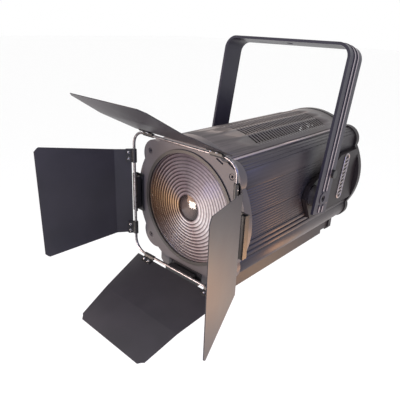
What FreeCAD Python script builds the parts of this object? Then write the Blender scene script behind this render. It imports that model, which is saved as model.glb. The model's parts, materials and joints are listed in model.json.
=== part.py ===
import FreeCAD, Part

# Fresnel spotlight: LED head in a U-shaped yoke, with a four-leaf barndoor on a rod frame.
#
# Frame: the origin is the centre of the mounting hole in the yoke's crossbar.
#   +X across the lamp, +Y towards the rear plate, +Z up. The optical axis lies along Y.
# Everything that belongs to the head is drawn in "head" coordinates, where the optical
# axis is X = Z = 0 and the barndoor's rods lie in the plane Y = 0.
import math
import os
import Sketcher

V = FreeCAD.Vector
doc = FreeCAD.newDocument("fresnel_spotlight")
os.makedirs("parts", exist_ok=True)

# ---------------------------------------------------------------- driving dimensions, mm
DIMENSIONS = [
    # yoke: one bent flat bar with two raised ridges on its outer face
    ("yoke_half", 136.8), ("yoke_plate", 5.0), ("yoke_width", 50.0), ("yoke_lean", 10.5),
    ("yoke_reach", 273.3), ("yoke_corner", 25.0), ("arm_tail", 30.0), ("ridge_rise", 1.2),
    ("ridge_wide", 4.0), ("ridge_offset", 6.5), ("boss_radius", 11.5), ("boss_gap", 14.0),
    ("yoke_hole", 6.5), ("pivot_rear", 238.5), ("bolt_radius", 6.0), ("running_fit", 0.06),
    # front and rear plates: a disc with four lobes
    ("plate_radius", 126.6), ("lobe_across", 81.8), ("lobe_up", 75.5), ("lobe_radius", 28.7),
    ("front_face", 17.3), ("front_thick", 16.4), ("rear_inner", 410.6), ("rear_thick", 12.4),
    ("foot_half", 78.4), ("front_drop", 141.0), ("rear_drop", 145.0), ("foot_chamfer", 7.0),
    ("apron_face", 29.8), ("screw_across", 93.0), ("screw_up", 82.5),
    # lens
    ("lens_opening", 100.0), ("lens_gap", 0.4), ("lens_thick", 6.0), ("ring_lip", 3.0),
    ("ring_proud", 2.2), ("lens_core", 22.0), ("lens_rings", 11.0), ("ring_depth", 2.4),
    # body shell
    ("cover_radius", 124.0), ("cover_thick", 2.0), ("cover_edge", 101.0),
    ("side_face", 105.3), ("side_thick", 3.8), ("tube_radius", 26.4), ("tube_wall", 2.5),
    ("shadow_gap", 1.0), ("vent_front", 120.0), ("vent_pitch", 8.4), ("vent_slot", 4.2),
    ("vent_width", 20.0), ("vent_step", 25.6), ("rib_rise", 2.0),
    ("base_top", 109.0), ("base_bottom", 141.6), ("base_wall", 2.0), ("base_rear", 375.0),
    ("neck_half", 66.0), ("neck_top", 98.0),
    # yoke mounting pods and their louvres
    ("pod_inner", 107.5), ("pod_outer", 117.0), ("hub_radius", 20.0), ("arm_gap", 0.3),
    ("louvre_length", 74.7), ("louvre_half", 8.75), ("louvre_rear", 355.1),
    ("louvre_up", 12.2), ("louvre_lean", 9.9), ("slat_pitch", 8.6), ("slat_thick", 3.2),
    # accessory brackets on the front plate
    ("lip_gap", 3.5), ("slot_deep", 13.0), ("slot_skin", 2.0), ("lip_front", 6.5),
    ("side_low", 41.0), ("side_high", 33.0), ("bottom_half", 41.0),
    # barndoor
    ("rod_half", 117.0), ("rod_radius", 2.5), ("rod_corner", 25.0), ("tab_thick", 1.5),
    ("tab_rear", 12.0), ("tab_half", 30.0), ("tab_lap", 11.7), ("sheet", 1.2),
    ("leaf_level", 3.6), ("leaf_start", 4.8), ("leaf_chamfer", 8.0),
    ("side_hinge_half", 82.0), ("side_crease_half", 82.6), ("side_outer_half", 102.0),
    ("side_crease", 35.7), ("side_length", 171.4), ("side_bend", -21.5),
    ("top_hinge_half", 107.6), ("top_crease_half", 91.3), ("top_outer_half", 80.7),
    ("top_crease", 96.0), ("top_length", 166.7), ("top_bend", 5.5),
    ("open_left", 36.6), ("open_right", 43.9), ("open_top", 25.8), ("open_bottom", 17.4),
    ("clip_length", 24.5), ("clip_wall", 1.05), ("clip_tab", 15.0), ("side_clip", 71.0),
    ("top_clip", 77.0), ("clip_screw", 2.8),
    # zoom carriage
    ("disc_radius", 80.0), ("disc_face", 176.0), ("disc_thick", 4.0), ("rail_across", 70.0),
    ("rail_radius", 4.0), ("screw_drop", 62.0), ("sink_half", 44.0), ("sink_depth", 96.0),
    ("rail_front", 90.0), ("rail_rear", 306.0), ("reflector_mouth", 45.0),
    # rear controls
    ("knob_radius", 20.0), ("knob_length", 22.0), ("fan_up", 62.0), ("fan_radius", 38.0),
    ("button_radius", 4.8), ("button_gap", 0.35), ("button_pitch", 16.0),
    ("button_proud", 2.5), ("window_half", 28.0), ("window_tall", 12.0), ("panel_up", -8.0),
    ("data_across", 55.0), ("data_drop", 50.0), ("data_radius", 12.0), ("power_drop", 118.0),
]


class Size:
    """A length or an angle kept together with the sheet formula that gives it."""

    def __init__(self, formula, value):
        self.formula = formula
        self.value = float(value)

    def __add__(self, other):
        other = size(other)
        return Size("(%s + %s)" % (self.formula, other.formula), self.value + other.value)

    def __sub__(self, other):
        other = size(other)
        return Size("(%s - %s)" % (self.formula, other.formula), self.value - other.value)

    def __mul__(self, other):
        other = size(other)
        return Size("(%s * %s)" % (self.formula, other.formula), self.value * other.value)

    def __truediv__(self, other):
        other = size(other)
        return Size("(%s / %s)" % (self.formula, other.formula), self.value / other.value)

    def __neg__(self):
        return Size("(0 - %s)" % self.formula, -self.value)

    def __radd__(self, other):
        return size(other) + self

    def __rsub__(self, other):
        return size(other) - self

    def __rmul__(self, other):
        return size(other) * self


def size(thing):
    return thing if isinstance(thing, Size) else Size("(%.9g)" % thing, thing)


def sine(angle):
    return Size("sin(%s)" % angle.formula, math.sin(math.radians(angle.value)))


def cosine(angle):
    return Size("cos(%s)" % angle.formula, math.cos(math.radians(angle.value)))


class Sheet:
    """The dimensions, each one an attribute that knows its cell."""


d = Sheet()
sheet = doc.addObject("Spreadsheet::Sheet", "dims")
for row, (alias, value) in enumerate(DIMENSIONS, start=1):
    sheet.set("A%d" % row, alias)
    sheet.set("B%d" % row, str(value))
    sheet.setAlias("B%d" % row, alias)
    setattr(d, alias, Size("dims." + alias, value))
doc.recompute()

# Distances that several pieces share.
arm = d.yoke_reach - d.yoke_plate / 2
head_y = -(arm * sine(d.yoke_lean)) - d.pivot_rear
head_z = -(arm * cosine(d.yoke_lean))
HEAD = ((0, head_y, head_z), [])
YOKE = ((0, head_y + d.pivot_rear, head_z), [((1, 0, 0), -d.yoke_lean)])
rear_face = d.rear_inner + d.rear_thick
front_back = d.front_face + d.front_thick
rod_clear = d.rod_radius + d.running_fit
NODES = []


# ---------------------------------------------------------------- ways of making pieces
def put(piece, place):
    """Bind a piece's Placement to a position and a list of (axis, angle) turns."""
    at, turns = place
    base = "; ".join(size(c).formula for c in at)
    turn = " * ".join("rotation(vector(%g; %g; %g); %s)" % (*axis, size(angle).formula)
                      for axis, angle in turns) or "rotation(vector(0; 0; 1); 0)"
    piece.setExpression("Placement", "placement(vector(%s); %s)" % (base, turn))


def body(label, place=HEAD, node=True):
    piece = doc.addObject("PartDesign::Body", label)
    piece.Label = label
    put(piece, place)
    if node:
        NODES.append(piece)
    return piece


def box_loop(x0, x1, y0, y1, r=0):
    """A rectangle for a sketch, its corners rounded by r."""
    return [(x0, y0, r), (x1, y0, r), (x1, y1, r), (x0, y1, r)]


def round_loop(x, y, r):
    return ("circle", x, y, r)


def hold(sketch, kind, geo, end, value):
    value = size(value)
    if kind == "Radius":
        made = sketch.addConstraint(Sketcher.Constraint(kind, geo, value.value))
    else:
        made = sketch.addConstraint(Sketcher.Constraint(kind, -1, 1, geo, end, value.value))
    sketch.setExpression("Constraints[%d]" % made, value.formula)


def hold_point(sketch, geo, end, x, y):
    hold(sketch, "DistanceX", geo, end, x)
    hold(sketch, "DistanceY", geo, end, y)


def draw_circle(sketch, x, y, r):
    x, y, r = size(x), size(y), size(r)
    circle = Part.Circle(V(x.value, y.value, 0), V(0, 0, 1), r.value)
    geo = sketch.addGeometry(circle, False)
    hold_point(sketch, geo, 3, x, y)
    hold(sketch, "Radius", geo, 0, r)


def axis_step(start, end):
    """The direction of an upright or level edge, as a pair of signs."""
    dx, dy = end[0].value - start[0].value, end[1].value - start[1].value
    return (math.copysign(1, dx), 0) if abs(dx) > abs(dy) else (0, math.copysign(1, dy))


def draw_polygon(sketch, points):
    """Lines round the points; a point with a radius gets an arc (level edges only)."""
    corners = [(size(p[0]), size(p[1]), size(p[2] if len(p) > 2 else 0)) for p in points]
    count = len(corners)
    ends = []
    for i, (x, y, r) in enumerate(corners):
        if r.value == 0:
            ends.append(((x, y), (x, y), None))
            continue
        back = axis_step(corners[i], corners[i - 1])
        ahead = axis_step(corners[i], corners[(i + 1) % count])
        enter = (x + r * back[0], y + r * back[1])
        leave = (x + r * ahead[0], y + r * ahead[1])
        centre = (enter[0] + r * ahead[0], enter[1] + r * ahead[1])
        ends.append((enter, leave, (centre, r, back[0] * ahead[1] - back[1] * ahead[0])))
    lines = []
    for i in range(count):
        a, b = ends[i][1], ends[(i + 1) % count][0]
        start, stop = V(a[0].value, a[1].value, 0), V(b[0].value, b[1].value, 0)
        lines.append(sketch.addGeometry(Part.LineSegment(start, stop), False))
    for i in range(count):
        enter, leave, arc = ends[i]
        if arc is None:
            sketch.addConstraint(Sketcher.Constraint("Coincident", lines[i - 1], 2, lines[i], 1))
            hold_point(sketch, lines[i], 1, *leave)
            continue
        centre, r, turn = arc
        first, last = (enter, leave) if turn < 0 else (leave, enter)
        middle = V(centre[0].value, centre[1].value, 0)
        angles = [math.atan2(p[1].value - middle.y, p[0].value - middle.x) for p in (first, last)]
        ring = Part.Circle(middle, V(0, 0, 1), r.value)
        geo = sketch.addGeometry(Part.ArcOfCircle(ring, *angles), False)
        at_enter, at_leave = (1, 2) if turn < 0 else (2, 1)
        hold_point(sketch, lines[i - 1], 2, *enter)
        hold_point(sketch, lines[i], 1, *leave)
        pairs = ((lines[i - 1], 2, at_enter), (lines[i], 1, at_leave))
        for line, end, arc_end in pairs:
            sketch.addConstraint(Sketcher.Constraint("Coincident", line, end, geo, arc_end))
        hold(sketch, "Radius", geo, 0, r)


def draw(piece, plane, start, loops):
    """A sketch on one of the piece's own origin planes, lifted to start."""
    sketch = piece.newObject("Sketcher::SketchObject", piece.Name + "_sketch")
    origin = [o for o in piece.Origin.OriginFeatures if o.Role == plane + "_Plane"][0]
    sketch.AttachmentSupport = [(origin, "")]
    sketch.MapMode = "FlatFace"
    start = size(start)
    lift = -start if plane == "XZ" else start
    sketch.setExpression("AttachmentOffset.Base.z", lift.formula)
    for loop in loops:
        if loop[0] == "circle":
            draw_circle(sketch, *loop[1:])
        else:
            draw_polygon(sketch, loop)
    return sketch


def pad(piece, plane, start, end, loops):
    """Add material between start and end along the plane's axis (+Y for XZ)."""
    sketch = draw(piece, plane, start, loops)
    made = piece.newObject("PartDesign::Pad", piece.Name + "_pad")
    made.Profile = sketch
    made.setExpression("Length", (size(end) - start).formula)
    made.Reversed = plane == "XZ"
    piece.Tip = made
    return made


def pocket(piece, plane, start, end, loops):
    """Remove material between start and end along the plane's axis."""
    sketch = draw(piece, plane, start, loops)
    made = piece.newObject("PartDesign::Pocket", piece.Name + "_pocket")
    made.Profile = sketch
    made.setExpression("Length", (size(end) - start).formula)
    made.Reversed = plane != "XZ"
    piece.Tip = made
    return made


def repeat(piece, feature, axis, step, count):
    """Repeat a feature along one of the piece's own axes."""
    made = piece.newObject("PartDesign::LinearPattern", piece.Name + "_row")
    line = [o for o in piece.Origin.OriginFeatures if o.Role == axis + "_Axis"][0]
    made.Originals = [feature]
    made.Direction = (line, [""])
    made.setExpression("Length", (size(step) * (count - 1)).formula)
    made.Occurrences = count
    piece.Tip = made
    return made


def turned(label, loops, place=HEAD, node=True):
    """A piece turned about its own Y axis from a half profile of (y, r) points."""
    piece = body(label, place, node)
    sketch = draw(piece, "YZ", 0, loops)
    made = piece.newObject("PartDesign::Revolution", label + "_turned")
    made.Profile = sketch
    made.ReferenceAxis = (sketch, ["H_Axis"])
    made.Angle = 360
    piece.Tip = made
    return piece


def mirrored(label, source):
    piece = doc.addObject("Part::Mirroring", label)
    piece.Label = label
    piece.Source = source
    piece.Normal = V(1, 0, 0)
    NODES.append(piece)
    return piece


def rod(piece_name, axis, at, radius, length, place):
    """A plain round bar along X, Y or Z of the given place."""
    bar = doc.addObject("Part::Cylinder", piece_name)
    bar.setExpression("Radius", size(radius).formula)
    bar.setExpression("Height", size(length).formula)
    turn = {"X": [((0, 1, 0), 90)], "Y": [((1, 0, 0), -90)], "Z": []}[axis]
    origin, turns = place
    shifted = tuple(size(a) + b for a, b in zip(origin, at))
    put(bar, (shifted, turns + turn))
    return bar


def fused(label, shapes):
    piece = doc.addObject("Part::MultiFuse", label)
    piece.Label = label
    piece.Shapes = shapes
    piece.Refine = True
    NODES.append(piece)
    return piece


def four(across, up, r):
    return [round_loop(across * a, up * b, r) for a in (1, -1) for b in (1, -1)]


# ---------------------------------------------------------------- yoke
def bent_bar(outer, tail):
    """The U of the bar: outer face at `outer` sideways, `tail` its arm ends."""
    inner = d.yoke_half - d.yoke_plate
    rise = outer - d.yoke_half
    reach, under = d.yoke_reach + rise, d.yoke_reach - d.yoke_plate
    round_out, round_in = d.yoke_corner + rise, d.yoke_corner - d.yoke_plate
    return [(outer, -tail), (outer, reach, round_out), (-outer, reach, round_out),
            (-outer, -tail), (-inner, -tail), (-inner, under, round_in),
            (inner, under, round_in), (inner, -tail)]


yoke = body("yoke_bar", YOKE)
half_width = d.yoke_width / 2
pad(yoke, "XZ", -half_width, half_width, [bent_bar(d.yoke_half, d.arm_tail)])
outer_ridge = d.yoke_half + d.ridge_rise
for side in (-1, 1):
    low = d.ridge_offset * side - d.ridge_wide / 2
    pad(yoke, "XZ", low, low + d.ridge_wide, [bent_bar(outer_ridge, d.arm_tail - 3)])
bare = (d.yoke_half, outer_ridge + 1)
thumb_rear, thumb_up = 16.0, 47.0
for side in (-1, 1):
    ends = sorted((bare[0] * side, bare[1] * side), key=lambda s: s.value)
    pocket(yoke, "YZ", *ends, [round_loop(0, 0, d.boss_gap)])
    ends = sorted((bare[0] * side, outer_ridge * side), key=lambda s: s.value)
    pad(yoke, "YZ", *ends, [round_loop(0, 0, d.boss_radius)])
pocket(yoke, "XY", d.yoke_reach, d.yoke_reach + d.ridge_rise + 1, [round_loop(0, 0, d.boss_gap)])
pocket(yoke, "YZ", d.yoke_half, outer_ridge + 1, [round_loop(thumb_rear, thumb_up, 9.0)])
pocket(yoke, "YZ", -outer_ridge - 1, outer_ridge + 1,
       [round_loop(0, 0, d.bolt_radius + d.running_fit)])
pocket(yoke, "YZ", 0, outer_ridge + 1, [round_loop(thumb_rear, thumb_up, 2.56)])
pocket(yoke, "XY", d.yoke_reach - 10, d.yoke_reach + 10, [round_loop(0, 0, d.yoke_hole)])

thumb = body("arm_thumb_screw", YOKE)
pad(thumb, "YZ", d.yoke_half + d.arm_gap, d.yoke_half + 6, [round_loop(thumb_rear, thumb_up, 8.0)])
pad(thumb, "YZ", d.yoke_half - d.yoke_plate - 1, d.yoke_half + 1,
    [round_loop(thumb_rear, thumb_up, 2.5)])

handle = body("tilt_handle", YOKE)
grip = outer_ridge + d.arm_gap
pad(handle, "YZ", -grip - 12, -grip, [round_loop(0, 0, 14)])
pad(handle, "YZ", -grip - 11, -grip - 3, [box_loop(-6, 6, -52, 0)])
pad(handle, "YZ", -grip - 14, -grip - 1, [round_loop(0, -52, 8)])
pad(handle, "YZ", -grip - 1, -d.yoke_half + 3, [round_loop(0, 0, d.bolt_radius - 2)])

# ---------------------------------------------------------------- tilt bearings of the head
pivot = (0, head_y + d.pivot_rear, head_z)
AXLE = (pivot, [])
arm_inner = d.yoke_half - d.yoke_plate
hubs = body("tilt_hubs", AXLE)
bolts = body("tilt_bolts", AXLE)
for side in (-1, 1):
    ends = sorted((d.pod_outer * side, (arm_inner - d.arm_gap) * side), key=lambda s: s.value)
    pad(hubs, "YZ", *ends, [round_loop(0, 0, d.hub_radius), round_loop(0, 0, d.bolt_radius)])
    ends = sorted((d.pod_outer * side, (outer_ridge - 1.6) * side), key=lambda s: s.value)
    pad(bolts, "YZ", *ends, [round_loop(0, 0, d.bolt_radius)])
pocket(bolts, "YZ", outer_ridge - 7, outer_ridge, [round_loop(0, 0, 3.2)])
pocket(bolts, "YZ", -outer_ridge, -d.yoke_half + 4,
       [round_loop(0, 0, d.bolt_radius - 2 + d.running_fit)])

# ---------------------------------------------------------------- front plate and lens
front = body("front_frame")
pad(front, "XZ", d.front_face, front_back, [round_loop(0, 0, d.plate_radius)])
for side in (-1, 1):
    for lift in (-1, 1):
        lobe = round_loop(d.lobe_across * side, d.lobe_up * lift, d.lobe_radius)
        pad(front, "XZ", d.front_face, front_back, [lobe])
cut = d.foot_half - d.foot_chamfer
pad(front, "XZ", d.apron_face, front_back,
    [[(-d.foot_half, -80), (-d.foot_half, -(d.front_drop - d.foot_chamfer)), (-cut, -d.front_drop),
      (cut, -d.front_drop), (d.foot_half, -(d.front_drop - d.foot_chamfer)), (d.foot_half, -80)]])
pocket(front, "XZ", d.front_face - 1, front_back + 1, [round_loop(0, 0, d.lens_opening)])
pocket(front, "XZ", d.front_face - 1, d.front_face + 5, four(d.screw_across, d.screw_up, 5.2))
for slot in (((60, 103.2), (73.5, 97), (75, 99), (61.5, 105.4)),
             ((84, 101.6), (100, 93), (101.2, 95.2), (85.4, 103.9))):
    pocket(front, "XZ", d.front_face - 1, d.front_face + 3, [list(slot)])

plate_screws = body("plate_screws")
pad(plate_screws, "XZ", d.front_face + 1, d.front_face + 5, four(d.screw_across, d.screw_up, 4.6))
pocket(plate_screws, "XZ", d.front_face, d.front_face + 4, four(d.screw_across, d.screw_up, 2.2))
pad(plate_screws, "XZ", rear_face - 5, rear_face - 1, four(d.screw_across, d.screw_up, 4.6))
pocket(plate_screws, "XZ", rear_face - 4, rear_face, four(d.screw_across, d.screw_up, 2.2))

bore = d.lens_opening - d.ring_lip
lip = d.front_face - d.ring_proud
seat = d.front_face + 2.7
lens_edge = d.lens_opening - d.lens_gap
lens_front = seat + 0.2
clamp = lens_front + d.lens_thick + 0.1
turned("lens_rings", [[(lip, bore), (lip, d.lens_opening + 3), (d.front_face, d.lens_opening + 3),
                      (d.front_face, d.lens_opening - 0.1), (seat, d.lens_opening - 0.1),
                      (seat, bore)],
                      [(clamp, bore), (clamp, lens_edge), (front_back - 1, lens_edge),
                       (front_back - 1, bore)]])
steps = 11
pitch = (lens_edge - d.ring_lip - 2 - d.lens_core) / d.lens_rings
profile = [(lens_front + d.lens_thick, 0), (lens_front + 1.5, 0),
           (lens_front + 1.5 + d.ring_depth, d.lens_core)]
for k in range(steps):
    ring_radius = d.lens_core + pitch * k
    profile.append((lens_front + 1.0, ring_radius + 0.4))
    profile.append((lens_front + 1.0 + d.ring_depth, ring_radius + pitch))
profile += [(lens_front, lens_edge - d.ring_lip - 1.5), (lens_front, lens_edge),
            (lens_front + d.lens_thick, lens_edge)]
turned("fresnel_lens", [profile])

# ---------------------------------------------------------------- accessory brackets
mouth = d.front_face - d.slot_skin
slot_inner = d.rod_half + d.lip_gap
slot_outer = d.rod_half + d.slot_deep
side_slot = [(slot_inner, d.lip_front), (slot_outer + d.slot_skin, d.lip_front),
             (slot_outer + d.slot_skin, d.front_face), (slot_inner - 8, d.front_face),
             (slot_inner - 8, mouth), (slot_outer, mouth),
             (slot_outer, d.lip_front + d.slot_skin), (slot_inner, d.lip_front + d.slot_skin)]
bracket = body("bracket_right")
pad(bracket, "XY", -d.side_low, d.side_high, [side_slot])
mirrored("bracket_left", bracket)
bottom = body("bracket_bottom")
bottom_slot = [(y, -x) for x, y in side_slot]
pad(bottom, "YZ", -d.bottom_half, d.bottom_half, [bottom_slot])

heads = [round_loop(-(slot_inner - 5) * side, up, 2.2) for side in (-1, 1) for up in (-34, 26)]
heads += [round_loop(x, -(slot_inner - 5), 2.2) for x in (-34, 34)]
pad(plate_screws, "XZ", mouth - 1.2, mouth, heads)

# ---------------------------------------------------------------- body shell
shell_end = d.rear_inner - d.shadow_gap
cover = body("top_cover")
pad(cover, "XZ", front_back, shell_end, [round_loop(0, 0, d.cover_radius),
                                         round_loop(0, 0, d.cover_radius - d.cover_thick)])
far = d.cover_radius + 10
pocket(cover, "XZ", front_back - 1, shell_end + 1, [box_loop(-far, far, -far, d.cover_edge)])
half_slot = d.vent_width / 2
slots = [box_loop(d.vent_step * k - half_slot, d.vent_step * k + half_slot, d.vent_front,
                  d.vent_front + d.vent_slot) for k in range(-2, 3)]
first_row = pocket(cover, "XY", 100, d.cover_radius + 5, slots)
repeat(cover, first_row, "Y", d.vent_pitch, 28)

side_wall = body("side_extrusion_right")
for lift in (-1, 1):
    pad(side_wall, "XZ", front_back, shell_end,
        [round_loop(d.lobe_across, d.lobe_up * lift, d.tube_radius),
         round_loop(d.lobe_across, d.lobe_up * lift, d.tube_radius - d.tube_wall)])
inner_wall = d.side_face - d.side_thick
middle_up = d.lobe_up - 8
pad(side_wall, "XZ", front_back, shell_end, [box_loop(inner_wall, d.side_face, -middle_up, middle_up)])
rib_top = d.lobe_up + d.tube_radius
pad(side_wall, "XZ", front_back, shell_end, [box_loop(81, 87, rib_top - 2.0, rib_top + 1.2)])
for drop in (40, 50, 60):
    rib_face = d.side_face + d.rib_rise
    rib = box_loop(d.side_face - 1, rib_face, -drop - 3.2, -drop + 3.2)
    pad(side_wall, "XZ", front_back, shell_end, [rib])
pocket(side_wall, "XZ", front_back - 1, shell_end + 1,
       [box_loop(d.side_face - 1, d.side_face + 1, 10.2, 13.2)])
mirrored("side_extrusion_left", side_wall)

base = body("base_housing")
half, wall = d.foot_half, d.base_wall
right_side = [(half, -d.base_bottom), (half, -d.base_top), (d.neck_half, -d.base_top),
              (d.neck_half, -d.neck_top), (d.neck_half - wall, -d.neck_top),
              (d.neck_half - wall, -d.base_top - wall), (half - wall, -d.base_top - wall),
              (half - wall, -d.base_bottom + wall)]
left_side = [(-x, z) for x, z in reversed(right_side)]
pad(base, "XZ", front_back, d.base_rear, [right_side + left_side])
base_end = body("base_end")
end_half, end_drop = half - 4, d.base_bottom - 4
end_top = -(d.lobe_up + d.tube_radius + 0.6)
pad(base_end, "XZ", d.base_rear, d.rear_inner, [box_loop(-end_half, end_half, -end_drop, end_top)])
pocket(base_end, "XZ", d.base_rear + wall, d.rear_inner + 1,
       [box_loop(wall - end_half, end_half - wall, wall - end_drop, end_top + 1)])
pocket(base_end, "XZ", d.base_rear - 1, d.base_rear + wall + 1, [box_loop(-50, 50, -130, end_top + 1)])
tray = body("base_tray")
tray_top = d.base_top + wall + 0.2
tray_half = half - wall - 0.2
pad(tray, "XY", -tray_top - 1.6, -tray_top,
    [box_loop(-tray_half, tray_half, front_back + 1, d.base_rear - 1)])
feet = body("feet")
pad(feet, "XY", -d.rear_drop, -d.base_bottom,
    [round_loop(x, y, 10) for x in (-60, 60) for y in (60, 350)])

# ---------------------------------------------------------------- rear plate
rear = body("rear_plate")
pad(rear, "XZ", d.rear_inner, rear_face, [round_loop(0, 0, d.plate_radius)])
for side in (-1, 1):
    for lift in (-1, 1):
        lobe = round_loop(d.lobe_across * side, d.lobe_up * lift, d.lobe_radius)
        pad(rear, "XZ", d.rear_inner, rear_face, [lobe])
pad(rear, "XZ", d.rear_inner, rear_face,
    [[(-d.foot_half, -80), (-d.foot_half, -(d.rear_drop - d.foot_chamfer)), (-cut, -d.rear_drop),
      (cut, -d.rear_drop), (d.foot_half, -(d.rear_drop - d.foot_chamfer)), (d.foot_half, -80)]])
display_x, first_button = -38, 20
window = (display_x - d.window_half, display_x + d.window_half,
          d.panel_up - d.window_tall, d.panel_up + d.window_tall)
button_x = [first_button + d.button_pitch * k for k in range(4)]
sockets = [(-d.data_across, -d.data_drop), (d.data_across, -d.data_drop)]
inlet = (-54, -26, -d.power_drop - 12, -d.power_drop + 12)
outlet = (-12, 16, -d.power_drop - 12, -d.power_drop + 12)
through = (d.rear_inner - 1, rear_face + 1)
pocket(rear, "XZ", *through, [round_loop(0, d.fan_up, d.fan_radius), box_loop(*window),
                              round_loop(0, -d.screw_drop, d.rail_radius + d.running_fit)])
pocket(rear, "XZ", *through,
       [round_loop(x, d.panel_up, d.button_radius + d.button_gap) for x in button_x])
pocket(rear, "XZ", *through, [round_loop(x, z, d.data_radius) for x, z in sockets])
pocket(rear, "XZ", *through, [box_loop(*inlet), box_loop(*outlet), round_loop(46, -118, 8)])
pocket(rear, "XZ", rear_face - 5, rear_face + 1, four(d.screw_across, d.screw_up, 5.2))
display = body("display_window")
pad(display, "XZ", rear_face - 2, rear_face - 0.5, [box_loop(*window)])
board = body("switch_board")
pad(board, "XZ", d.rear_inner - 1.8, d.rear_inner - 0.2, [box_loop(-70, 76, -26, 10)])
for index, x in enumerate(button_x, start=1):
    button = body("menu_button_%d" % index)
    pad(button, "XZ", d.rear_inner + 2, rear_face + d.button_proud,
        [round_loop(x, d.panel_up, d.button_radius)])
socket = body("data_sockets")
for x, z in sockets:
    pad(socket, "XZ", d.rear_inner, rear_face + 1.5, [round_loop(x, z, d.data_radius)])
    pocket(socket, "XZ", rear_face - 8, rear_face + 2, [round_loop(x, z, d.data_radius - 2.5)])
    pad(socket, "XZ", rear_face - 8, rear_face - 1,
        [round_loop(x + 4 * a, z + b, 1.1) for a, b in ((-1, 0), (1, 0), (0, -4), (0, 4))])
for name, (x0, x1, z0, z1) in (("power_inlet", inlet), ("power_outlet", outlet)):
    socket = body(name)
    pad(socket, "XZ", d.rear_inner - 6, rear_face + 1.2, [box_loop(x0, x1, z0, z1)])
    pocket(socket, "XZ", rear_face - 12, rear_face + 2,
           [box_loop(x0 + 3, x1 - 3, z0 + 3, z1 - 3)])
    if name == "power_inlet":
        centre = (x0 + x1) / 2
        pad(socket, "XZ", rear_face - 12, rear_face - 2,
            [box_loop(centre + k * 6 - 1, centre + k * 6 + 1, z0 + 10, z0 + 14) for k in (-1, 0, 1)])
fuse = body("fuse_holder")
pad(fuse, "XZ", d.rear_inner, rear_face + 4, [round_loop(46, -118, 8)])
pocket(fuse, "XZ", rear_face + 2.5, rear_face + 5, [box_loop(39, 53, -118.8, -117.2)])
eye = body("safety_eye")
pad(eye, "XZ", rear_face, rear_face + 16, [box_loop(-14, 14, 109, 114)])
pocket(eye, "XZ", rear_face - 1, rear_face + 11, [box_loop(-9, 9, 108, 115)])

# ---------------------------------------------------------------- fan
FAN = ((0, head_y, head_z + d.fan_up), [])
fan = body("fan_housing", FAN)
fan_front = d.rear_inner - 25
pad(fan, "XZ", fan_front, d.rear_inner, [box_loop(-40, 40, -40, 40, 6)])
pocket(fan, "XZ", fan_front - 1, d.rear_inner + 1, [round_loop(0, 0, d.fan_radius)])
pad(fan, "XZ", d.rear_inner - 4, d.rear_inner, [round_loop(0, 0, 16)])
for z0, z1, x0, x1 in ((-1.5, 1.5, -39, 39), (-39, 39, -1.5, 1.5)):
    pad(fan, "XZ", d.rear_inner - 3, d.rear_inner, [box_loop(x0, x1, z0, z1)])
rotor = body("fan_rotor", FAN)
pad(rotor, "XZ", fan_front + 1, d.rear_inner - 4.5, [round_loop(0, 0, 16)])
for k in range(7):
    turn = 2 * math.pi * k / 7
    along, across = V(math.cos(turn), math.sin(turn), 0), V(-math.sin(turn), math.cos(turn), 0)
    blade = [along * r + across * w for r, w in ((14, -1), (14, 1), (36, 5), (36, 3))]
    pad(rotor, "XZ", fan_front + 3, d.rear_inner - 7, [[(p.x, p.y) for p in blade]])
grille = body("fan_grille", FAN)
for radius in (12, 20, 28, 36.4):
    pad(grille, "XZ", rear_face - 2, rear_face, [round_loop(0, 0, radius + 1.5),
                                                 round_loop(0, 0, radius)])
for loop in (box_loop(-37, 37, -1, 1), box_loop(-1, 1, -37, 37)):
    pad(grille, "XZ", rear_face - 2, rear_face, [loop])

# ---------------------------------------------------------------- yoke mounting pods
pod_blank = body("pod_blank", HEAD, node=False)
pod_outline = [(236.3, -46.8), (223.5, -22.2), (212.9, -2.3), (224.6, 20.7), (250.4, 31.6),
               (300.7, 41.0), (335, 60), (shell_end, 62), (shell_end, -46.8)]
pad(pod_blank, "YZ", d.pod_inner, d.pod_outer, [pod_outline])
pad(pod_blank, "YZ", d.side_face, d.pod_inner, [round_loop(262, 0, 9), round_loop(325, 0, 9)])
LOUVRE = ((0, head_y + d.louvre_rear, head_z + d.louvre_up), [((1, 0, 0), -d.louvre_lean)])
straight = d.louvre_length / 2
capsule = body("louvre_hole", LOUVRE, node=False)
edges = (d.pod_inner - 5, d.pod_outer + 5)
pad(capsule, "YZ", *edges, [box_loop(-d.louvre_half, d.louvre_half, -straight, straight)])
for up in (straight, -straight):
    pad(capsule, "YZ", *edges, [round_loop(0, up, d.louvre_half)])
pod = doc.addObject("Part::Cut", "side_pod_right")
pod.Label = "side_pod_right"
pod.Base = pod_blank
pod.Tool = capsule
NODES.append(pod)
mirrored("side_pod_left", pod)
louvres = body("side_louvres", LOUVRE)
slat_half = d.louvre_half - 0.8
slats = [box_loop(-slat_half, slat_half, d.slat_pitch * k - d.slat_thick / 2,
                  d.slat_pitch * k + d.slat_thick / 2) for k in range(-4, 5)]
for side in (-1, 1):
    levels = [level * side for level in (d.side_face + 2.2, d.side_face + 4, d.pod_outer - 1.5)]
    levels.sort(key=lambda s: s.value)
    backing = levels[:2] if side > 0 else levels[1:]
    blades = levels[1:] if side > 0 else levels[:2]
    pad(louvres, "YZ", *backing, [box_loop(-slat_half, slat_half, -38, 38)])
    pad(louvres, "YZ", *blades, slats)

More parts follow.
